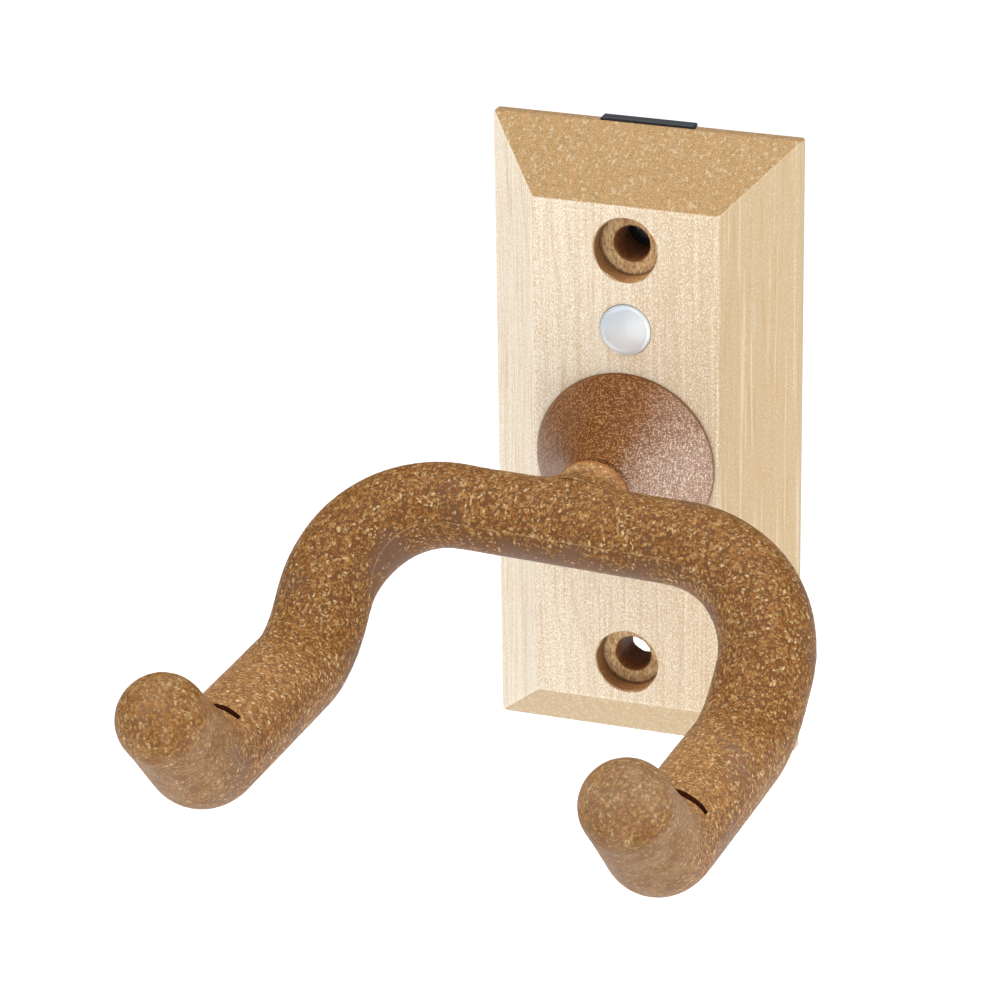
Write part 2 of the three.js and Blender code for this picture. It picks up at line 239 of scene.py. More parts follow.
class Centreline:
    """The yoke's centre line from the left tip to the right one, by fractions of its length."""

    def __init__(self):
        right = [np.array(c) for c in ARM_CORNERS]
        left = [c * (-1, 1, 1) for c in reversed(right)]
        self.points = rounded_path(left + right, ARM_RADII[::-1] + ARM_RADII)
        steps = np.linalg.norm(np.diff(self.points, axis=0), axis=1)
        self.lengths = np.concatenate([[0], np.cumsum(steps)])
        self.length = self.lengths[-1]

    def at(self, fraction):
        s = fraction * self.length
        return np.array([np.interp(s, self.lengths, self.points[:, k]) for k in range(3)])

    def tangent(self, fraction):
        step = 0.4 / self.length
        ahead = self.at(min(fraction + step, 1)) - self.at(max(fraction - step, 0))
        return ahead / np.linalg.norm(ahead)


def smoothstep(value, low, high):
    t = min(max((value - low) / (high - low), 0), 1)
    return t * t * (3 - 2 * t)


def padding_radius(fraction):
    """The padding is slimmer along the crossbar and at the tips than along the arms."""
    from_hub = abs(2 * fraction - 1)
    body = PADDING["hub"] + (PADDING["arm"] - PADDING["hub"]) * smoothstep(from_hub, ARM_STARTS, ARM_FULL)
    return body + (PADDING["tip"] - body) * smoothstep(from_hub, TIP_STARTS, 1)


def sweep_rings(path, start, end, radius_at, rise, steps, angles, end_steps, bluntness=1.0):
    """Rings around the path with rounded ends. Angle 0 is the top, and a quarter turn the inner side."""
    cosines, sines = np.cos(angles)[:, None], np.sin(angles)[:, None]

    def ring(centre, tangent, radius):
        up = np.array([0, 0, 1.0]) - tangent * tangent[2]
        up /= np.linalg.norm(up)
        across = np.cross(tangent, up)
        return centre + radius * (cosines * up + sines * across)

    def cap(fraction, outwards):
        centre, tangent, radius = path.at(fraction), path.tangent(fraction), radius_at(fraction)
        rings = []
        for turn in np.linspace(0, 0.98 * math.pi / 2, end_steps + 1)[1:]:
            reach = rise * math.sin(turn) ** bluntness
            size = radius * math.cos(turn) ** bluntness
            rings.append(ring(centre + tangent * outwards * reach, tangent, size))
        return rings

    rings = cap(start, -1)[::-1]
    for fraction in np.linspace(start, end, steps):
        rings.append(ring(path.at(fraction), path.tangent(fraction), radius_at(fraction)))
    return rings + cap(end, 1)


def turn_to_rest(obj):
    obj.data.transform(Matrix.Rotation(REST_TURN, 4, "Y"))


# Pieces -----------------------------------------------------------------------------------------

def screw_seats():
    """Where the wall screws' heads rest, from the record, in metres."""
    return [m["pos_m"] for m in frame["record"]["mounts"] if m["name"].endswith("screw_seat")]


def rounded_rectangle(half_width, half_height, radii, y, steps=5):
    """A closed ring whose upper and lower corners have a radius each."""
    points = []
    for quarter, (right, up) in enumerate([(1, 1), (1, -1), (-1, -1), (-1, 1)]):
        radius = radii[0] if up > 0 else radii[1]
        for step in range(steps + 1):
            angle = math.pi / 2 * (quarter + step / steps)
            x = right * (half_width - radius) + radius * math.sin(angle)
            z = up * (half_height - radius) + radius * math.cos(angle)
            points.append((x, y, z))
    return points


def plate_section(thickness):
    """(inset, y) along the chamfered edge, from the front face to the back face, with eased arrises."""
    bevel, back = PLATE["bevel"], -PLATE["stand_off"]
    corners = [
        (bevel + 1.2, -thickness, 0), (bevel, -thickness, 0), (0, back - PLATE["lip"], 0), (0, back, 0),
        (0.9, back, 0),
    ]
    points = rounded_path(corners, [1.1, 0.5, 0.2], arc_steps=6, line_steps=2)
    return [(p[0], p[1]) for p in points]


def screw_hole_profile(thickness, seat_y):
    """Stepped hole with eased and slightly torn arrises."""
    bore, radius, ease = SCREW_HOLE["bore"], SCREW_HOLE["radius"], SCREW_HOLE["ease"]
    front, before, behind = -thickness, -thickness - OVERSHOOT, OVERSHOOT
    return [
        (ON_AXIS, before), (bore + ease, before), (bore + ease, front - 0.01), (bore + 0.1, front + 0.12),
        (bore, front + ease), (bore, front + 1.8), (bore, seat_y - 0.1), (bore - 0.15, seat_y),
        (radius + 0.5, seat_y), (radius + 0.12, seat_y + 0.08), (radius, seat_y + 0.35), (radius, -4),
        (radius, behind), (ON_AXIS, behind),
    ]


def cut_strip_groove(plate):
    """An open groove down the back, a little wider than the strip."""
    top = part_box("wall_plate")[1].z / MM
    low, high = (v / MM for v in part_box("back_strip"))
    near = (low.x - 0.15, -PLATE["groove"], low.z - 0.3)
    far = (high.x + 0.15, OVERSHOOT, top + OVERSHOOT)
    combine(plate, box_object("groove", near, far), "DIFFERENCE")


def cut_screw_holes(plate, thickness):
    for number, (_, seat_y, seat_z) in enumerate(screw_seats()):
        profile = screw_hole_profile(thickness, seat_y / MM)
        hole = turned_object("hole", profile, centre=(0, seat_z / MM), wobble=0.12, seed=number * 9)
        combine(plate, hole, "DIFFERENCE")


def cut_collar_bore(plate, thickness):
    """The collar's spigot passes through, into a pocket for the washers and the clip."""
    spigot, pocket, floor = COLLAR["spigot"] + 0.15, PLATE["pocket"], PLATE["pocket_floor"]
    before, behind = -thickness - OVERSHOOT, OVERSHOOT
    through = [(ON_AXIS, before), (spigot, before), (spigot, floor)]
    bore = through + [(pocket, floor), (pocket, behind), (ON_AXIS, behind)]
    combine(plate, turned_object("bore", bore), "DIFFERENCE")


def cut_badge_seat(plate, thickness):
    low, high = (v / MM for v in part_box("badge"))
    before, radius, floor = -thickness - OVERSHOOT, high.x + 0.1, high.y + 0.05
    seat = [(ON_AXIS, before), (radius, before), (radius, floor), (ON_AXIS, floor)]
    combine(plate, turned_object("seat", seat, centre=(0, (low.z + high.z) / 2)), "DIFFERENCE")


def cut_strip_screw_pilots(plate):
    for name in STRIP_SCREWS:
        low, high = (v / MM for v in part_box(name))
        floor, radius = low.y - 0.3, STRIP["shank"]
        pilot = [(ON_AXIS, floor), (radius, floor), (radius, OVERSHOOT), (ON_AXIS, OVERSHOOT)]
        tool = turned_object("pilot", pilot, sides=24, centre=(0, (low.z + high.z) / 2))
        combine(plate, tool, "DIFFERENCE")


def make_plate(material):
    low, high = (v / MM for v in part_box("wall_plate"))
    thickness = -low.y
    rings = []
    for inset, y in plate_section(thickness):
        lower = PLATE["corner"] + PLATE["worn_corner"] * max(0, 1 - inset / PLATE["bevel"])
        rings.append(rounded_rectangle(high.x - inset, high.z - inset, (PLATE["corner"], lower), y))
    plate = grid_object("maple_plate", rings)
    cut_strip_groove(plate)
    cut_screw_holes(plate, thickness)
    cut_collar_bore(plate, thickness)
    cut_badge_seat(plate, thickness)
    cut_strip_screw_pilots(plate)
    shade(plate, 25)
    paint(plate, material)
    finish_piece(plate, "wall_mount", "maple", "wall_plate")


def arc_points(x, z, radius, start, end, steps):
    """Points in X and Z along an arc between two angles in degrees."""
    angles = np.linspace(math.radians(start), math.radians(end), steps)
    return [(x + radius * math.cos(a), z + radius * math.sin(a)) for a in angles]


def flat_curve(name, loops, thickness, edge):
    """A flat body in X and Z with rounded edges: the first loop is its outline and the others are holes."""
    curve = bpy.data.curves.new(name, "CURVE")
    curve.dimensions = "2D"
    curve.fill_mode = "BOTH"
    curve.extrude = (thickness / 2 - edge) * MM
    curve.bevel_depth = edge * MM
    curve.bevel_resolution = 2
    curve.offset = -edge * MM
    for loop in loops:
        spline = curve.splines.new("POLY")
        spline.points.add(len(loop) - 1)
        spline.use_cyclic_u = True
        for point, (x, z) in zip(spline.points, loop):
            point.co = (x * MM, z * MM, 0, 1)
    obj = new_object(name, curve)
    graph = bpy.context.evaluated_depsgraph_get()
    mesh = bpy.data.meshes.new_from_object(obj.evaluated_get(graph))
    bpy.data.objects.remove(obj)
    mesh.transform(Matrix.Translation((0, -thickness / 2 * MM, 0)) @ Matrix.Rotation(math.pi / 2, 4, "X"))
    made = new_object(name, mesh)
    merge(made)
    return made


def strip_outline(low, high, lower_seat):
    """The strip's outline from its lower right corner, with an open fork for the lower wall screw."""
    half, rounding, fork = high.x, STRIP["corner"], STRIP["fork"]
    right = arc_points(half - rounding, high.z - rounding, rounding, 0, 90, 6)
    left = arc_points(-half + rounding, high.z - rounding, rounding, 90, 180, 6)
    arch = arc_points(0, lower_seat, fork, 180, 0, 20)
    return [(half, low.z), *right, *left, (-half, low.z), (-fork, low.z), *arch, (fork, low.z)]


def make_strip(material):
    low, high = (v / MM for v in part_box("back_strip"))
    lower_seat, upper_seat = sorted(place[2] / MM for place in screw_seats())
    screws = [sum((v / MM).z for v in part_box(n)) / 2 for n in STRIP_SCREWS]
    holes = [(upper_seat, STRIP["screw"])] + [(z, STRIP["shank"]) for z in screws]
    loops = [strip_outline(low, high, lower_seat)]
    loops += [arc_points(0, z, radius, 360, 12, 30) for z, radius in holes]
    strip = flat_curve("steel_strip", loops, -low.y, STRIP["edge"])
    narrow, wide, deep, behind = STRIP["shank"] - 0.1, STRIP["sink"] + 0.9, -STRIP["sink_depth"], 0.75
    sink = [(ON_AXIS, deep), (narrow, deep), (wide, behind), (ON_AXIS, behind)]
    for z in screws:
        combine(strip, turned_object("sink", sink, sides=40, centre=(0, z)), "DIFFERENCE")
    shade(strip, 30)
    paint(strip, material)
    finish_piece(strip, "wall_mount", "strip_steel", "back_strip")


def make_collar(material):
    """A flare drawn as one cubic curve from rim to neck, with a spigot behind and a groove in front."""
    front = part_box("wall_plate")[0].y / MM
    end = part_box("collar_cone")[1].y / MM
    rim_y = front - COLLAR["rim"]
    radius, neck, neck_y = COLLAR["radius"], COLLAR["neck"], COLLAR["neck_y"]
    handles = [(radius, rim_y), (radius - 3.2, rim_y - 5), (neck + 0.4, neck_y + 7), (neck, neck_y)]
    flare = []
    for t in np.linspace(0.02, 0.98, 60):
        weights = [(1 - t) ** 3, 3 * (1 - t) ** 2 * t, 3 * (1 - t) * t * t, t ** 3]
        flare.append(tuple(np.dot(weights, handles)))
    spigot = [(COLLAR["bore"], end), (COLLAR["spigot"], end), (COLLAR["spigot"], front - 0.05)]
    rim = [(radius - 0.15, front - 0.05), (radius, front - 0.2)]
    rim += [(radius, rim_y + 0.25), (radius - 0.1, rim_y + 0.06)]
    groove = [(neck - 1.1, neck_y + 1.0), (neck - 1.15, neck_y), (COLLAR["bore"], neck_y)]
    outside = [point for point in flare[1:] if point[1] > neck_y + 1.15]
    collar = ring_object("moulded_collar", spigot + rim + outside + groove, sides=176)
    shade(collar, 40)
    paint(collar, material)
    finish_piece(collar, "wall_mount", "collar_rubber", "collar_cone")


def make_badge(material):
    low, high = (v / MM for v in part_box("badge"))
    radius, rise = high.x, 0.5
    rim_y = low.y + rise
    turns = np.linspace(0, math.pi / 2, 14)
    dome = [(radius * 0.93 * math.sin(t) + ON_AXIS, rim_y - rise * math.cos(t)) for t in turns]
    edge = [(radius * 0.95, rim_y + 0.04), (radius * 0.985, rim_y + 0.06), (radius, rim_y + 0.16)]
    back = [(radius, high.y), (ON_AXIS, high.y)]
    badge = turned_object("domed_badge", dome + edge + back, centre=(0, (low.z + high.z) / 2))
    shade(badge, 40)
    paint(badge, material)
    finish_piece(badge, "wall_mount", "badge_silver", "badge")


def surface_noise(point):
    """How far the moulded skin stands off its full size at a point, in millimetres."""
    lumps = noise.noise(point / SKIN["lump"]) * SKIN["lump_height"]
    grains = noise.noise(point / SKIN["grain"]) * SKIN["grain_height"]
    return lumps + grains - SKIN["below"]


def sleeve_rings(path):
    """The padding's skin along the whole yoke, and which of a ring's points lie on the parting line."""
    uniform = np.linspace(0, 2 * math.pi, SLEEVE_STEPS["around"], endpoint=False)
    beside = [side * math.pi / 2 + offset for side in (1, 3) for offset in (-0.018, 0.018)]
    angles = np.sort(np.concatenate([uniform, beside]))
    steps, end_steps = SLEEVE_STEPS["along"], SLEEVE_STEPS["ends"]
    rings = np.array(sweep_rings(path, 0, 1, padding_radius, PADDING["end_rise"], steps, angles, end_steps,
                                 PADDING["bluntness"]))
    seam = np.isclose(np.abs(np.sin(angles)), 1, atol=1e-6)
    centres = rings.mean(1, keepdims=True)
    outwards = rings - centres
    outwards /= np.maximum(np.linalg.norm(outwards, axis=2, keepdims=True), 1e-6)
    for row, ring in enumerate(rings):
        flash = 0.025 + 0.035 * noise.noise((row * 0.05, 3.1, 0))
        for column, point in enumerate(ring):
            lift = surface_noise(Vector(point)) + stub_fillet(point)
            if seam[column]:
                lift += max(flash, 0)
            ring[column] = point + outwards[row, column] * lift
    return rings, seam


def stub_fillet(point):
    """Extra radius where the crossbar flows into the stub."""
    hub_y = ARM_CORNERS[0][1]
    if point[1] < hub_y or abs(point[0]) > FILLET["half_span"]:
        return 0
    away = math.hypot(point[0], point[2]) - STUB["radius"]
    return FILLET["rise"] * max(0, 1 - max(away, 0) / FILLET["reach"]) ** 2


def stub_rings():
    """The stub from inside the crossbar to its rolled lip, widened where the two meet."""
    hub_y = ARM_CORNERS[0][1]
    end, lip, radius = STUB["end"], STUB["lip"], STUB["radius"]
    sides = 120
    angles = np.linspace(0, 2 * math.pi, sides, endpoint=False)
    rings = []
    for y in np.linspace(hub_y + 1, end - lip, 28):
        ring = []
        for angle in angles:
            z = radius * math.cos(angle)
            crossbar_y = hub_y + math.sqrt(max(PADDING["hub"] ** 2 - z * z, 0))
            gap = max(y - crossbar_y, 0)
            size = radius + FILLET["stub_rise"] * max(0, 1 - gap / FILLET["stub_reach"]) ** 2
            x, z = size * math.sin(angle), size * math.cos(angle)
            size += surface_noise(Vector((x, y, z)))
            ring.append((size * math.sin(angle), y, size * math.cos(angle)))
        rings.append(ring)
    for turn in np.linspace(0.3, math.pi / 2, 5):
        size = radius - lip * (1 - math.cos(turn))
        rings += turned_rings([(size, end - lip + lip * math.sin(turn))], sides=sides)
    return rings


def slit_blade(path, side, material):
    """A thin blade across the top of an arm, where the heel starts to rise."""
    fractions = np.linspace(0.7, 1, 400)
    nearest = min(fractions, key=lambda f: abs(path.at(f)[1] - SLIT["y"]))
    fraction = nearest if side > 0 else 1 - nearest
    centre, tangent = path.at(fraction), path.tangent(fraction)
    up = np.array([0, 0, 1.0]) - tangent * tangent[2]
    up /= np.linalg.norm(up)
    across = np.cross(tangent, up)
    radius = padding_radius(fraction)
    half_length = SLIT["right_reach"] if side > 0 else SLIT["left_reach"]
    rings = []
    for share in np.linspace(-1, 1, 21):
        reach = share * half_length
        skin = math.sqrt(radius ** 2 - reach ** 2)
        taper = math.sqrt(1 - 0.999 * share ** 2)
        low, high = skin - SLIT["depth"] * (0.45 + 0.55 * taper), skin + 2
        half = SLIT["width"] / 2 * (0.7 + 0.3 * taper)
        shift = 0.06 * math.sin(reach * 2.1 + side) + side * 0.3 * share ** 2
        corners = [(-half, low), (-half, high), (half, high), (half, low)]
        middle = centre + across * reach
        rings.append([middle + tangent * (t + shift) + up * h for t, h in corners])
    blade = grid_object("blade", rings)
    merge(blade)
    paint(blade, material)
    return blade


def cut_core_cavity(sleeve, path):
    """Room for the CAD's core rod, which the padding is moulded round."""
    around = np.linspace(0, 2 * math.pi, 24, endpoint=False)
    margin = (1 - CORE["reach"]) / 2
    cavity = sweep_rings(path, margin, 1 - margin, lambda _: CORE["radius"], 1.3, 120, around, 4)
    combine(sleeve, grid_object("cavity", cavity), "DIFFERENCE")


def cut_stub_bore(sleeve):
    hub_y, behind = ARM_CORNERS[0][1], STUB["end"] + OVERSHOOT
    bore = [(ON_AXIS, hub_y), (STUB["bore"], hub_y), (STUB["bore"], behind), (ON_AXIS, behind)]
    combine(sleeve, turned_object("bore", bore, sides=64), "DIFFERENCE")


def make_sleeve(material, slit_shade_material):
    path = Centreline()
    rings, seam = sleeve_rings(path)
    sleeve = grid_object("cork_sleeve", rings)
    mark_vertices(sleeve, "parting_line", np.tile(seam, len(rings)))
    combine(sleeve, grid_object("stub", stub_rings()), "UNION")
    cut_core_cavity(sleeve, path)
    cut_stub_bore(sleeve)
    paint(sleeve, material)
    for side in (1, -1):
        combine(sleeve, slit_blade(path, side, slit_shade_material), "DIFFERENCE", keep_materials=True)
    turn_to_rest(sleeve)
    shade(sleeve, 50)
    finish_piece(sleeve, "yoke", "cork_rubber", "yoke_sleeve")


# Materials --------------------------------------------------------------------------------------

class Shader:
    """A material's node tree around one principled surface."""

    def __init__(self, name, **surface):
        self.material = bpy.data.materials.new(name)
        self.material.use_nodes = True
        self.tree = self.material.node_tree
        self.tree.nodes.clear()
        self.surface = self.node("ShaderNodeBsdfPrincipled")
        output = self.node("ShaderNodeOutputMaterial")
        self.tree.links.new(self.surface.outputs["BSDF"], output.inputs["Surface"])
        self.coordinates = self.node("ShaderNodeTexCoord")
        self.place = self.coordinates.outputs["Object"]
        for key, value in surface.items():
            self.set(key, value)

    def node(self, kind, **settings):
        made = self.tree.nodes.new(kind)
        for key, value in settings.items():
            setattr(made, key, value)
        return made

    def feed(self, socket, value):
        if isinstance(value, bpy.types.NodeSocket):
            self.tree.links.new(value, socket)
        else:
            socket.default_value = value

    def set(self, name, value):
        self.feed(self.surface.inputs[name.replace("_", " ")], value)

    def math(self, operation, *values, clamp=False):
        made = self.node("ShaderNodeMath", operation=operation, use_clamp=clamp)
        for socket, value in zip(made.inputs, values):
            self.feed(socket, value)
        return made.outputs[0]

    def times(self, first, second):
        return self.math("MULTIPLY", first, second)

    def scaled(self, value, factor, offset):
        """The value times a factor, plus an offset."""
        return self.math("MULTIPLY_ADD", value, factor, offset)

    def smooth(self, value, low, high):
        """0 at low and 1 at high, with a soft step between."""
        made = self.node("ShaderNodeMapRange", interpolation_type="SMOOTHSTEP")
        for key, given in {"Value": value, "From Min": low, "From Max": high}.items():
            self.feed(made.inputs[key], given)
        return made.outputs[0]

    def ramp(self, value, *stops):
        """Colour by value through (position, colour) stops."""
        made = self.node("ShaderNodeValToRGB")
        elements = made.color_ramp.elements
        while len(elements) < len(stops):
            elements.new(0.5)
        for element, (position, colour) in zip(elements, stops):
            element.position, element.color = position, colour
        self.feed(made.inputs[0], value)
        return made.outputs[0]

    def mix(self, factor, first, second, blend="MIX"):
        made = self.node("ShaderNodeMix", data_type="RGBA", blend_type=blend)
        for index, value in ((0, factor), (6, first), (7, second)):
            self.feed(made.inputs[index], value)
        return made.outputs[2]

    def tint(self, colour, mask, amount, other, blend="MIX"):
        """The colour with another one laid over it where the mask is set, by the given amount."""
        return self.mix(self.times(mask, amount), colour, other, blend)

    def distance(self, first, second):
        """How far a point lies from an axis, from its two offsets."""
        squares = self.math("ADD", self.times(first, first), self.times(second, second))
        return self.math("SQRT", squares)

    def stretch(self, size, offset=(0, 0, 0)):
        """The place measured in cells of the given size in millimetres along X, Y and Z."""
        made = self.node("ShaderNodeMapping")
        self.feed(made.inputs["Vector"], self.place)
        made.inputs["Scale"].default_value = [1 / (s * MM) for s in size]
        made.inputs["Location"].default_value = offset
        return made.outputs[0]

    def noise(self, size, detail=2.0, roughness=0.5, offset=(0, 0, 0)):
        made = self.node("ShaderNodeTexNoise")
        self.feed(made.inputs["Vector"], self.stretch(size, offset))
        for key, value in {"Scale": 1.0, "Detail": detail, "Roughness": roughness}.items():
            made.inputs[key].default_value = value
        return made.outputs[0]

    def cells(self, size, offset=(0, 0, 0), warp=0.0, edges=False):
        """Distance from each cell's middle or edge, and three random numbers of the cell."""
        vector = self.stretch(size, offset)
        if warp:
            shake = self.node("ShaderNodeTexNoise")
            self.feed(shake.inputs["Vector"], vector)
            shake.inputs["Scale"].default_value = 1.6
            shake.inputs["Detail"].default_value = 1.0
            add = self.node("ShaderNodeVectorMath", operation="MULTIPLY_ADD")
            self.feed(add.inputs[0], shake.outputs["Color"])
            add.inputs[1].default_value = (warp, warp, warp)
            self.feed(add.inputs[2], vector)
            vector = add.outputs[0]
        made = self.node("ShaderNodeTexVoronoi")
        self.feed(made.inputs["Vector"], vector)
        made.inputs["Scale"].default_value = 1.0
        split = self.node("ShaderNodeSeparateColor")
        self.feed(split.inputs[0], made.outputs["Color"])
        if edges:
            made = self.node("ShaderNodeTexVoronoi", feature="DISTANCE_TO_EDGE")
            self.feed(made.inputs["Vector"], vector)
            made.inputs["Scale"].default_value = 1.0
        return made.outputs["Distance"], split.outputs[0], split.outputs[1], split.outputs[2]

    def position(self):
        split = self.node("ShaderNodeSeparateXYZ")
        self.feed(split.inputs[0], self.place)
        return split.outputs

    def facing(self):
        """The surface's own direction as X, Y and Z parts."""
        split = self.node("ShaderNodeSeparateXYZ")
        self.feed(split.inputs[0], self.coordinates.outputs["Normal"])
        return split.outputs

    def bump(self, height, distance, strength=1.0):
        made = self.node("ShaderNodeBump")
        made.inputs["Distance"].default_value = distance * MM
        made.inputs["Strength"].default_value = strength
        self.feed(made.inputs["Height"], height)
        self.set("Normal", made.outputs[0])


def rgb(red, green, blue):
    return (red, green, blue, 1.0)


# Chips of each layer: their size in millimetres, the share of cells that hold one, and the pattern's offset
CORK_LAYERS = [
    ((0.32, 0.28, 0.34), 0.45, (9, 4, 2)),
    ((0.52, 0.4, 0.42), 0.36, (3, 1, 17)),
    ((0.38, 0.5, 0.64), 0.3, (11, 5, 2)),
]
COLLAR_LAYERS = [
    ((0.16, 0.26, 0.16), 0.24, (2, 9, 4)),
    ((0.58, 0.18, 0.13), 0.15, (6, 1, 13)),
    ((0.13, 0.22, 0.58), 0.14, (1, 6, 3)),
]
CORK_TONES = [
    (0.0, rgb(0.16, 0.052, 0.01)), (0.35, rgb(0.33, 0.12, 0.018)), (0.65, rgb(0.4, 0.2, 0.048)),
    (0.88, rgb(0.5, 0.3, 0.11)), (1.0, rgb(0.74, 0.54, 0.28)),
]


def chips(shader, size, share, offset, warp=0.7):
    """Mask of angular chips, with a random number for each one's colour."""
    edge, chosen, tint, _ = shader.cells(size, offset, warp, edges=True)
    inside = shader.smooth(edge, 0.02, 0.1)
    picked = shader.smooth(shader.math("ADD", chosen, share), 0.985, 1.015)
    return shader.times(inside, picked), tint


def cork_rubber():
    """Cork chips of many tones packed in brown rubber, fewer where the skin is smooth."""
    shader = Shader("cork_rubber", Specular_IOR_Level=0.25)
    across, depth, _ = shader.position()
    _, _, upwards = shader.facing()
    worn = shader.smooth(depth, -98 * MM, -109 * MM)
    colour, relief = packed_cork(shader, upwards, worn)
    colour = length_tones(shader, colour, depth, upwards, worn)
    colour = tip_tones(shader, colour, across, upwards, worn)
    colour = shader.mix(flash_mask(shader, worn), colour, rgb(0.5, 0.33, 0.16))
    colour = shader.mix(lip_mask(shader, depth), colour, rgb(0.33, 0.095, 0.016))
    shader.set("Base Color", colour)
    grit = shader.noise((0.18, 0.18, 0.18), 2)
    shader.bump(shader.scaled(grit, 0.5, relief), 0.05, 0.8)
    shader.set("Roughness", shader.scaled(grit, 0.3, 0.4))
    return shader.material


def packed_cork(shader, upwards, worn):
    """Colour and relief of three sizes of chips in their binder, thinned out in patches of bare skin."""
    patches = shader.noise((9, 9, 9), 2, 0.5, (2, 8, 1))
    skin = shader.smooth(shader.scaled(upwards, -0.12, patches), 0.5, 0.72)
    skin = shader.times(skin, shader.scaled(worn, -0.8, 1.0))
    spread = shader.scaled(upwards, 0.12, -0.02)
    density = shader.scaled(skin, -0.3, shader.scaled(worn, 0.06, spread))
    binder = shader.noise((0.4, 0.4, 0.4), 3, 0.65, (5, 5, 5))
    colour = shader.mix(binder, rgb(0.08, 0.028, 0.006), rgb(0.23, 0.092, 0.021))
    colour = shader.tint(colour, skin, 0.6, rgb(0.18, 0.1, 0.062))
    relief = shader.times(binder, 0.5)
    strength = shader.scaled(worn, -0.18, 0.85)
    for size, share, offset in CORK_LAYERS:
        mask, chance = chips(shader, size, shader.math("ADD", density, share), offset)
        tone = shader.ramp(chance, *CORK_TONES)
        colour = shader.tint(colour, mask, strength, tone)
        relief = shader.math("MAXIMUM", relief, mask)
    return colour, relief


def length_tones(shader, colour, depth, upwards, worn):
    """Paler on the arms' upward faces and on the stub, as painted highlights for light from above, and darker
    towards the wall.
    """
    on_arms = shader.smooth(depth, -64 * MM, -78 * MM)
    # Painted highlight: the arms' upward faces, away from the tips, are made paler in place of light from
    # above.
    lit_tops = shader.times(on_arms, shader.smooth(upwards, 0.2, 0.8))
    lit_tops = shader.times(lit_tops, shader.math("SUBTRACT", 1.0, worn))
    colour = shader.tint(colour, lit_tops, 0.4, rgb(1.5, 1.5, 1.5), "MULTIPLY")
    colour = shader.tint(colour, lit_tops, 0.1, rgb(0.6, 0.44, 0.3))
    rear = shader.smooth(depth, -70 * MM, -55 * MM)
    colour = shader.tint(colour, rear, 0.15, rgb(0.06, 0.025, 0.007))
    # Painted highlight: the whole stub is made paler and warmer in place of light from above.
    stub = shader.smooth(depth, -34 * MM, -31 * MM)
    colour = shader.mix(stub, colour, rgb(1.5, 1.5, 1.5), "MULTIPLY")
    return shader.tint(colour, stub, 0.12, rgb(0.7, 0.5, 0.34))


def tip_tones(shader, colour, across, upwards, worn):
    """The tips' smooth skin: a painted sheen on top at the right, painted shade under the heels, and rubbed in
    blotches.
    """
    right_side = shader.smooth(across, -20 * MM, 20 * MM)
    # Painted sheen: a pale haze on the upper faces of the right tip.
    tip_sheen = shader.times(right_side, shader.smooth(upwards, -0.1, 0.7))
    colour = shader.tint(colour, shader.times(tip_sheen, worn), 0.18, rgb(0.52, 0.42, 0.3))
    # Painted shade: the downward faces of the heels are darkened, more on the right.
    heel = shader.times(worn, shader.smooth(upwards, 0.1, -0.5))
    heel_strength = shader.scaled(right_side, 0.24, 0.16)
    colour = shader.tint(colour, heel, heel_strength, rgb(0.11, 0.055, 0.012))
    blotches = shader.smooth(shader.noise((3.5, 3.5, 3.5), 2, 0.5, (1, 1, 8)), 0.4, 0.62)
    rubbed = shader.mix(blotches, rgb(0.22, 0.1, 0.022), rgb(0.4, 0.25, 0.125))
    return shader.tint(colour, worn, 0.26, rubbed)


def flash_mask(shader, worn):
    """The mould's thin parting line, marked on the mesh, broken up in places and rubbed off at the tips."""
    line = shader.node("ShaderNodeAttribute", attribute_name="parting_line")
    gaps = shader.smooth(shader.noise((3, 3, 3), 2, 0.5, (7, 7, 3)), 0.3, 0.5)
    kept = shader.times(gaps, shader.math("SUBTRACT", 0.8, worn, clamp=True))
    return shader.times(shader.smooth(line.outputs["Fac"], 0.35, 0.9), kept)


def lip_mask(shader, depth):
    """The thin rim where the stub meets the collar."""
    rim = shader.smooth(depth, (STUB["end"] - 0.95) * MM, (STUB["end"] - 0.45) * MM)
    return shader.times(rim, 0.8)


def slit_shade():
    """Inside of the mould's slits: painted shade, dark and slightly red."""
    shader = Shader("slit_shade", Roughness=0.8, Specular_IOR_Level=0.1)
    grain = shader.noise((0.3, 0.3, 0.3), 2)
    shader.set("Base Color", shader.mix(grain, rgb(0.02, 0.005, 0.002), rgb(0.12, 0.03, 0.01)))
    return shader.material


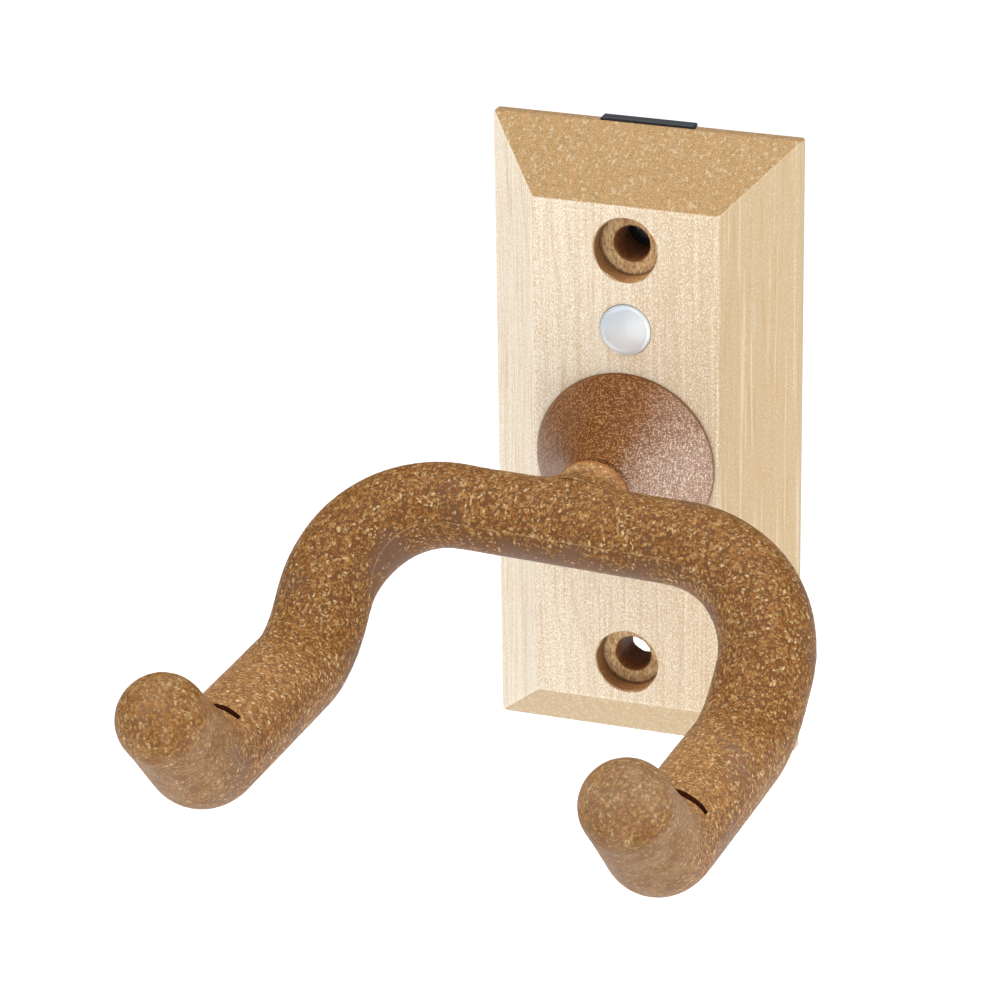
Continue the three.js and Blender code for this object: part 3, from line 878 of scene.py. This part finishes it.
def collar_rubber():
    """The same mix ground finer and moulded smooth, with a painted sheen on its right: a paler binder and
    brighter chips there.
    """
    shader = Shader("collar_rubber")
    x, y, z = shader.position()
    sides = shader.smooth(shader.math("ABSOLUTE", x), 2 * MM, 9 * MM)
    shader.set("Specular_IOR_Level", shader.scaled(sides, 0.34, 0.14))
    binder = shader.noise((0.35, 0.35, 0.35), 3, 0.6, (5, 5, 5))
    colour = shader.mix(binder, rgb(0.065, 0.015, 0.002), rgb(0.21, 0.068, 0.01))
    relief = shader.times(binder, 0.5)
    collar_sheen = painted_sheen_mask(shader, x, z)
    for size, share, offset in COLLAR_LAYERS:
        mask, chance = chips(shader, size, share, offset, warp=0.35)
        # Chips in lit and shaded copies: brighter ones under the painted sheen, darker ones elsewhere.
        dark = shader.mix(chance, rgb(0.22, 0.08, 0.014), rgb(0.58, 0.31, 0.12))
        bright = shader.mix(chance, rgb(0.5, 0.31, 0.19), rgb(1.0, 0.86, 0.7))
        colour = shader.tint(colour, mask, 0.82, shader.mix(collar_sheen, dark, bright))
        relief = shader.math("MAXIMUM", relief, mask)
    # Painted sheen: the binder turns paler on the collar's right.
    colour = shader.tint(colour, collar_sheen, 0.33, rgb(0.55, 0.37, 0.27))
    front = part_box("wall_plate")[0].y
    rim = shader.smooth(y, front - 0.75 * MM, front - 0.6 * MM)
    colour = shader.tint(colour, rim, 0.8, rgb(0.13, 0.055, 0.016))
    shader.set("Base Color", colour)
    fine = shader.noise((0.2, 0.2, 0.2), 2)
    shader.set("Roughness", shader.scaled(fine, 0.2, 0.3))
    shader.bump(shader.scaled(fine, 0.6, relief), 0.02, 0.6)
    return shader.material


def painted_sheen_mask(shader, x, z):
    """1 on the collar's right, fading out towards its top and its left: where the painted sheen lies."""
    radius = shader.distance(x, z)
    side = shader.math("DIVIDE", shader.scaled(z, -0.25, x), radius)
    ragged = shader.scaled(shader.noise((1.6, 1.6, 1.6), 3, 0.6), 0.7, -0.35)
    return shader.smooth(shader.math("ADD", side, ragged), 0.05, 0.95)


def maple():
    """Solid maple: rings across X, fibres and pores along Z, and darker end grain above and below."""
    shader = Shader("maple", Specular_IOR_Level=0.35)
    x, y, z = shader.position()
    sideways, _, upwards = shader.facing()
    end_grain = shader.smooth(shader.math("ABSOLUTE", upwards), 0.35, 0.6)
    side_cut = shader.smooth(shader.math("ABSOLUTE", sideways), 0.3, 0.6)
    drift = shader.noise((14, 9, 60), 2)
    weave = shader.noise((0.12, 0.12, 0.36), 2, 0.65, (9, 2, 5))
    speck = shader.noise((0.24, 0.24, 0.28), 2, 0.65, (3, 8, 1))
    face = long_grain(shader, x, drift, weave, sideways, side_cut)
    colour = shader.mix(end_grain, face, cut_ends(shader, speck, upwards))
    colour = streaks_and_rings(shader, colour, x, drift, side_cut, end_grain)
    colour = shader.mix(hole_mask(shader, x, y, z), colour, hole_tone(shader, x, y, z))
    shader.set("Base Color", colour)
    shader.bump(shader.scaled(weave, 1.0, shader.times(speck, 0.6)), 0.05, 0.7)
    shader.set("Roughness", shader.scaled(weave, 0.25, 0.4))
    return shader.material


def long_grain(shader, x, drift, weave, sideways, side_cut):
    """Face and sides: pale sapwood at the left and darker wood towards the right, partly the wood's own tone
    and partly a painted sheen from the left, with painted shade on the right chamfer, fibres and a fine weave.
    """
    # Pale at the left, darker at the right: partly the wood's own tone, partly a painted sheen from the light
    # on the left.
    heartwood_and_sheen = shader.smooth(shader.scaled(drift, 12 * MM, x), -12 * MM, 26 * MM)
    fibre = shader.noise((0.2, 0.2, 9), 3, 0.6)
    face = shader.mix(heartwood_and_sheen, rgb(0.83, 0.735, 0.59), rgb(0.66, 0.505, 0.33))
    face = shader.tint(face, shader.smooth(fibre, 0.45, 0.75), 0.3, rgb(0.6, 0.41, 0.2))
    woven = shader.mix(shader.smooth(weave, 0.48, 0.66), face, rgb(0.58, 0.4, 0.2))
    woven = shader.mix(shader.smooth(weave, 0.5, 0.34), woven, rgb(1.0, 0.95, 0.85))
    face = shader.mix(shader.scaled(side_cut, -0.2, 0.88), face, woven)
    # Painted shade: the chamfer on the right is darkened, as the light falls from the left.
    shaded_right_chamfer = shader.smooth(sideways, 0.3, 0.6)
    return shader.tint(face, shaded_right_chamfer, 0.66, rgb(0.44, 0.32, 0.165))


def cut_ends(shader, speck, upwards):
    """End grain, paler below than above, with fine dark and pale specks, and painted shade on the faces that
    look straight up or down.
    """
    lower_end = shader.smooth(upwards, 0.1, -0.1)
    end = shader.mix(lower_end, rgb(0.41, 0.248, 0.095), rgb(0.49, 0.365, 0.205))
    end = shader.tint(end, shader.smooth(speck, 0.48, 0.66), 0.6, rgb(0.22, 0.11, 0.03))
    end = shader.tint(end, shader.smooth(speck, 0.5, 0.34), 0.6, rgb(0.55, 0.4, 0.23))
    # Painted shade: faces that look straight up or down, such as the top lip, are darkened.
    lip = shader.smooth(shader.math("ABSOLUTE", upwards), 0.85, 0.97)
    return shader.tint(end, lip, 0.4, rgb(0.34, 0.21, 0.12))


def streaks_and_rings(shader, colour, x, drift, side_cut, end_grain):
    """Thin and broad streaks along the grain, a few bright ones, and the growth rings."""
    thin = shader.smooth(shader.noise((0.32, 0.32, 16), 2, 0.5, (6, 6, 6)), 0.56, 0.7)
    thin_strength = shader.scaled(side_cut, 0.2, 0.28)
    colour = shader.tint(colour, thin, thin_strength, rgb(0.5, 0.3, 0.12))
    broad = shader.smooth(shader.noise((1.1, 1.1, 45), 2, 0.5, (2, 5, 9)), 0.5, 0.68)
    colour = shader.tint(colour, broad, 0.16, rgb(0.52, 0.32, 0.13))
    glint = shader.smooth(shader.noise((0.5, 0.5, 30), 2, 0.5, (8, 3, 2)), 0.54, 0.7)
    colour = shader.tint(colour, glint, 0.22, rgb(1.0, 0.92, 0.76))
    bands = shader.scaled(drift, 5.0, shader.times(x, 1 / (2.5 * MM)))
    ring = shader.smooth(shader.math("PINGPONG", bands, 0.5), 0.16, 0.0)
    ring_strength = shader.scaled(end_grain, 0.34, 0.14)
    return shader.tint(colour, ring, ring_strength, rgb(0.5, 0.27, 0.1))


def upper_seat():
    """Where the upper wall screw's head rests, in metres. The lower one mirrors it."""
    return next(m["pos_m"] for m in frame["record"]["mounts"] if m["name"] == "upper_screw_seat")


def from_hole_axis(shader, x, z):
    """Distance from the nearer screw hole's axis, in metres."""
    height = shader.math("SUBTRACT", shader.math("ABSOLUTE", z), upper_seat()[2])
    return shader.distance(x, height)


def hole_mask(shader, x, y, z):
    """1 inside the screw holes."""
    front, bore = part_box("wall_plate")[0].y, SCREW_HOLE["bore"]
    near = shader.smooth(from_hole_axis(shader, x, z), (bore + 0.5) * MM, (bore + 0.15) * MM)
    inside = shader.smooth(y, front + 0.02 * MM, front + 0.35 * MM)
    return shader.times(near, inside)


def hole_tone(shader, x, y, z):
    """Cut wood: pale on the step, dark in the narrow part, with a painted shadow on the left wall and painted
    shade in the step's corner.
    """
    seat, bore, hole = upper_seat()[1], SCREW_HOLE["bore"], SCREW_HOLE["radius"]
    radius = from_hole_axis(shader, x, z)
    fibres = shader.smooth(shader.noise((0.28, 0.4, 0.7), 3, 0.75, (4, 4, 4)), 0.3, 0.7)
    # Painted shadow: the wall on the left side of each hole is darkened, with a ragged edge.
    ragged = shader.scaled(shader.noise((4, 4, 4)), 3 * MM, x)
    left_wall_shadow = shader.smooth(ragged, 4.5 * MM, -3.5 * MM)
    wall = shader.mix(fibres, rgb(0.33, 0.13, 0.03), rgb(0.84, 0.5, 0.22))
    wall = shader.tint(wall, left_wall_shadow, 0.8, rgb(0.13, 0.05, 0.014))
    step = shader.mix(fibres, rgb(0.36, 0.17, 0.05), rgb(0.9, 0.66, 0.36))
    on_step = shader.smooth(y, seat - 0.2 * MM, seat - 0.05 * MM)
    wall = shader.mix(on_step, wall, step)
    # Painted shade in the corner where the step meets the wall.
    near_step = shader.smooth(y, seat - 0.75 * MM, seat - 0.25 * MM)
    near_wall = shader.smooth(radius, (bore - 0.45) * MM, (bore - 0.1) * MM)
    wall = shader.tint(wall, shader.times(near_step, near_wall), 0.8, rgb(0.1, 0.035, 0.01))
    deep = shader.mix(fibres, rgb(0.16, 0.055, 0.015), rgb(0.4, 0.18, 0.06))
    narrow = shader.smooth(radius, (hole + 0.35) * MM, (hole + 0.1) * MM)
    return shader.mix(narrow, wall, deep)


def metal(name, colour, roughness, brushed=(0.4, 0.4, 3)):
    """Bare metal with fine marks, stretched along the direction of the brushing."""
    shader = Shader(name, Metallic=1.0)
    streaks = shader.noise(brushed, 3, 0.6)
    blotches = shader.noise((4, 4, 4), 2)
    darker = tuple(c * 0.75 for c in colour[:3]) + (1.0,)
    shader.set("Base Color", shader.mix(shader.times(streaks, blotches), darker, colour))
    shader.set("Roughness", shader.scaled(streaks, 0.25, roughness))
    shader.bump(streaks, 0.01, 0.5)
    return shader.material


def painted_steel():
    """Black paint, a little greyer on the faces that look up: rubbed paint on the edge that stands above the
    plate, and a painted reflection of the bright surroundings.
    """
    shader = Shader("painted_steel", Specular_IOR_Level=0.3)
    _, _, upwards = shader.facing()
    grain = shader.noise((0.5, 0.5, 0.5), 3, 0.6)
    colour = shader.mix(grain, rgb(0.004, 0.004, 0.006), rgb(0.012, 0.013, 0.016))
    # Upward faces greyer: rubbed paint and a painted reflection.
    rubbed = shader.smooth(upwards, 0.5, 0.9)
    shader.set("Base Color", shader.tint(colour, rubbed, 0.8, rgb(0.06, 0.064, 0.072)))
    shader.set("Roughness", shader.scaled(grain, 0.2, 0.35))
    shader.bump(grain, 0.02, 0.6)
    return shader.material


def badge_silver():
    """Spun silver foil under a clear dome."""
    shader = Shader("badge_silver", Metallic=0.35, Coat_Weight=1.0, Coat_Roughness=0.06)
    x, _, z = shader.position()
    badge_low, badge_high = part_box("badge")
    height = shader.math("SUBTRACT", z, (badge_low.z + badge_high.z) / 2)
    radius = shader.distance(x, height)
    spun = shader.node("ShaderNodeTexNoise", noise_dimensions="1D")
    shader.feed(spun.inputs["W"], shader.times(radius, 1 / (0.12 * MM)))
    rings = spun.outputs[0]
    foil = shader.mix(rings, rgb(0.66, 0.7, 0.73), rgb(0.9, 0.92, 0.93))
    shadow = shader.smooth(shader.math("SUBTRACT", height, x), -1 * MM, 5 * MM)
    shader.set("Base Color", shader.tint(foil, shadow, 0.6, rgb(0.36, 0.45, 0.52)))
    shader.set("Roughness", shader.scaled(rings, 0.15, 0.3))
    return shader.material


def nylon():
    shader = Shader("black_nylon", Specular_IOR_Level=0.4)
    grain = shader.noise((0.3, 0.3, 0.3), 2)
    shader.set("Base Color", shader.mix(grain, rgb(0.012, 0.012, 0.012), rgb(0.035, 0.034, 0.033)))
    shader.set("Roughness", shader.scaled(grain, 0.2, 0.45))
    return shader.material


def paint_inner_nodes():
    """The CAD's own shapes are right for the hardware, so they only get finishes."""
    zinc = metal("zinc_steel", rgb(0.6, 0.61, 0.62), 0.28)
    drawn = metal("drawn_steel", rgb(0.42, 0.43, 0.45), 0.35, (0.3, 4, 0.3))
    bronze = metal("sintered_bronze", rgb(0.5, 0.33, 0.14), 0.4, (0.4, 0.4, 0.4))
    dark = metal("phosphated_steel", rgb(0.14, 0.14, 0.15), 0.42, (0.6, 0.6, 0.6))
    finishes = {
        "strip_screw_upper": zinc, "strip_screw_lower": zinc, "flat_washer": zinc, "wave_washer": zinc,
        "core_rod": drawn, "spindle": drawn, "spindle_bush": bronze, "retaining_clip": dark,
        "thrust_washer": nylon(),
    }
    for name, finish in finishes.items():
        paint(frame["nodes"][name], finish)


# Stage ------------------------------------------------------------------------------------------

LIGHTS = {
    "key": ((-0.62, -0.72, 0.42), 0.8, 3.0), "side": ((0.84, -0.3, -0.05), 0.5, 3.0),
    "top": ((0.1, -0.08, 0.9), 1.1, 8.4),
}
WORLD_FADE = {"From Min": -0.3, "From Max": 0.5, "To Min": 0.56, "To Max": 0.12}
FLOOR = {"below": 260, "half_width": 4000, "thickness": 5, "glow": 0.6}


def make_camera():
    """The camera fitted to the photo, placed from its angles and its distance."""
    azimuth, elevation, roll = (math.radians(CAMERA[k]) for k in ("azimuth", "elevation", "roll"))
    back = Matrix.Rotation(azimuth, 3, "Z") @ Vector((0, -math.cos(elevation), math.sin(elevation)))
    level = Vector((math.cos(azimuth), math.sin(azimuth), 0))
    upright = back.cross(level)
    right = level * math.cos(roll) + upright * math.sin(roll)
    up = upright * math.cos(roll) - level * math.sin(roll)
    camera = bpy.data.objects.new("camera", bpy.data.cameras.new("camera"))
    camera.data.lens, camera.data.sensor_width = LENS, SENSOR
    camera.data.clip_start, camera.data.clip_end = 0.01, 20
    place = (right * CAMERA["right"] + up * CAMERA["up"] + back * CAMERA["distance"]) * MM
    camera.matrix_world = Matrix.Translation(place) @ Matrix((right, up, back)).transposed().to_4x4()
    bpy.context.scene.collection.objects.link(camera)
    bpy.context.scene.camera = camera


def make_light(name, place, size, watts):
    """A white, square soft box that faces the object."""
    light = bpy.data.lights.new(name, "AREA")
    light.size, light.energy = size, watts
    obj = bpy.data.objects.new(name, light)
    obj.location = place
    towards = Vector((0, -0.05, -0.01)) - Vector(place)
    obj.rotation_euler = towards.to_track_quat("-Z", "Y").to_euler()
    bpy.context.scene.collection.objects.link(obj)


def make_floor():
    """A pale sheet far below the object, which lights it from underneath."""
    top, half, thickness = CAD_BOUNDS[0].z / MM - FLOOR["below"], FLOOR["half_width"], FLOOR["thickness"]
    corners = [(-half, -half), (-half, half), (half, half), (half, -half)]
    rings = [[(x, y, top - drop) for x, y in corners] for drop in (0, thickness)]
    floor = grid_object("floor", rings)
    shader = Shader("pale_floor", Roughness=0.8, Base_Color=rgb(0.9, 0.9, 0.9))
    shader.set("Emission Color", rgb(1, 1, 1))
    shader.set("Emission Strength", FLOOR["glow"])
    paint(floor, shader.material)


def make_world():
    """White surroundings, bright on the photographer's side and dim behind the wall."""
    world = bpy.data.worlds.new("studio")
    world.use_nodes = True
    nodes, links = world.node_tree.nodes, world.node_tree.links
    place = nodes.new("ShaderNodeTexCoord")
    split = nodes.new("ShaderNodeSeparateXYZ")
    fade = nodes.new("ShaderNodeMapRange")
    background = nodes["Background"]
    links.new(place.outputs["Generated"], split.inputs[0])
    links.new(split.outputs[1], fade.inputs["Value"])
    for key, value in WORLD_FADE.items():
        fade.inputs[key].default_value = value
    links.new(fade.outputs[0], background.inputs["Strength"])
    background.inputs["Color"].default_value = rgb(1, 1, 1)
    bpy.context.scene.world = world


def make_studio():
    make_world()
    bpy.context.scene.view_settings.view_transform = "Standard"
    for name, (place, size, watts) in LIGHTS.items():
        make_light(name, place, size, watts)


make_plate(maple())
make_strip(painted_steel())
make_collar(collar_rubber())
make_badge(badge_silver())
make_sleeve(cork_rubber(), slit_shade())
paint_inner_nodes()
make_floor()
make_studio()
make_camera()
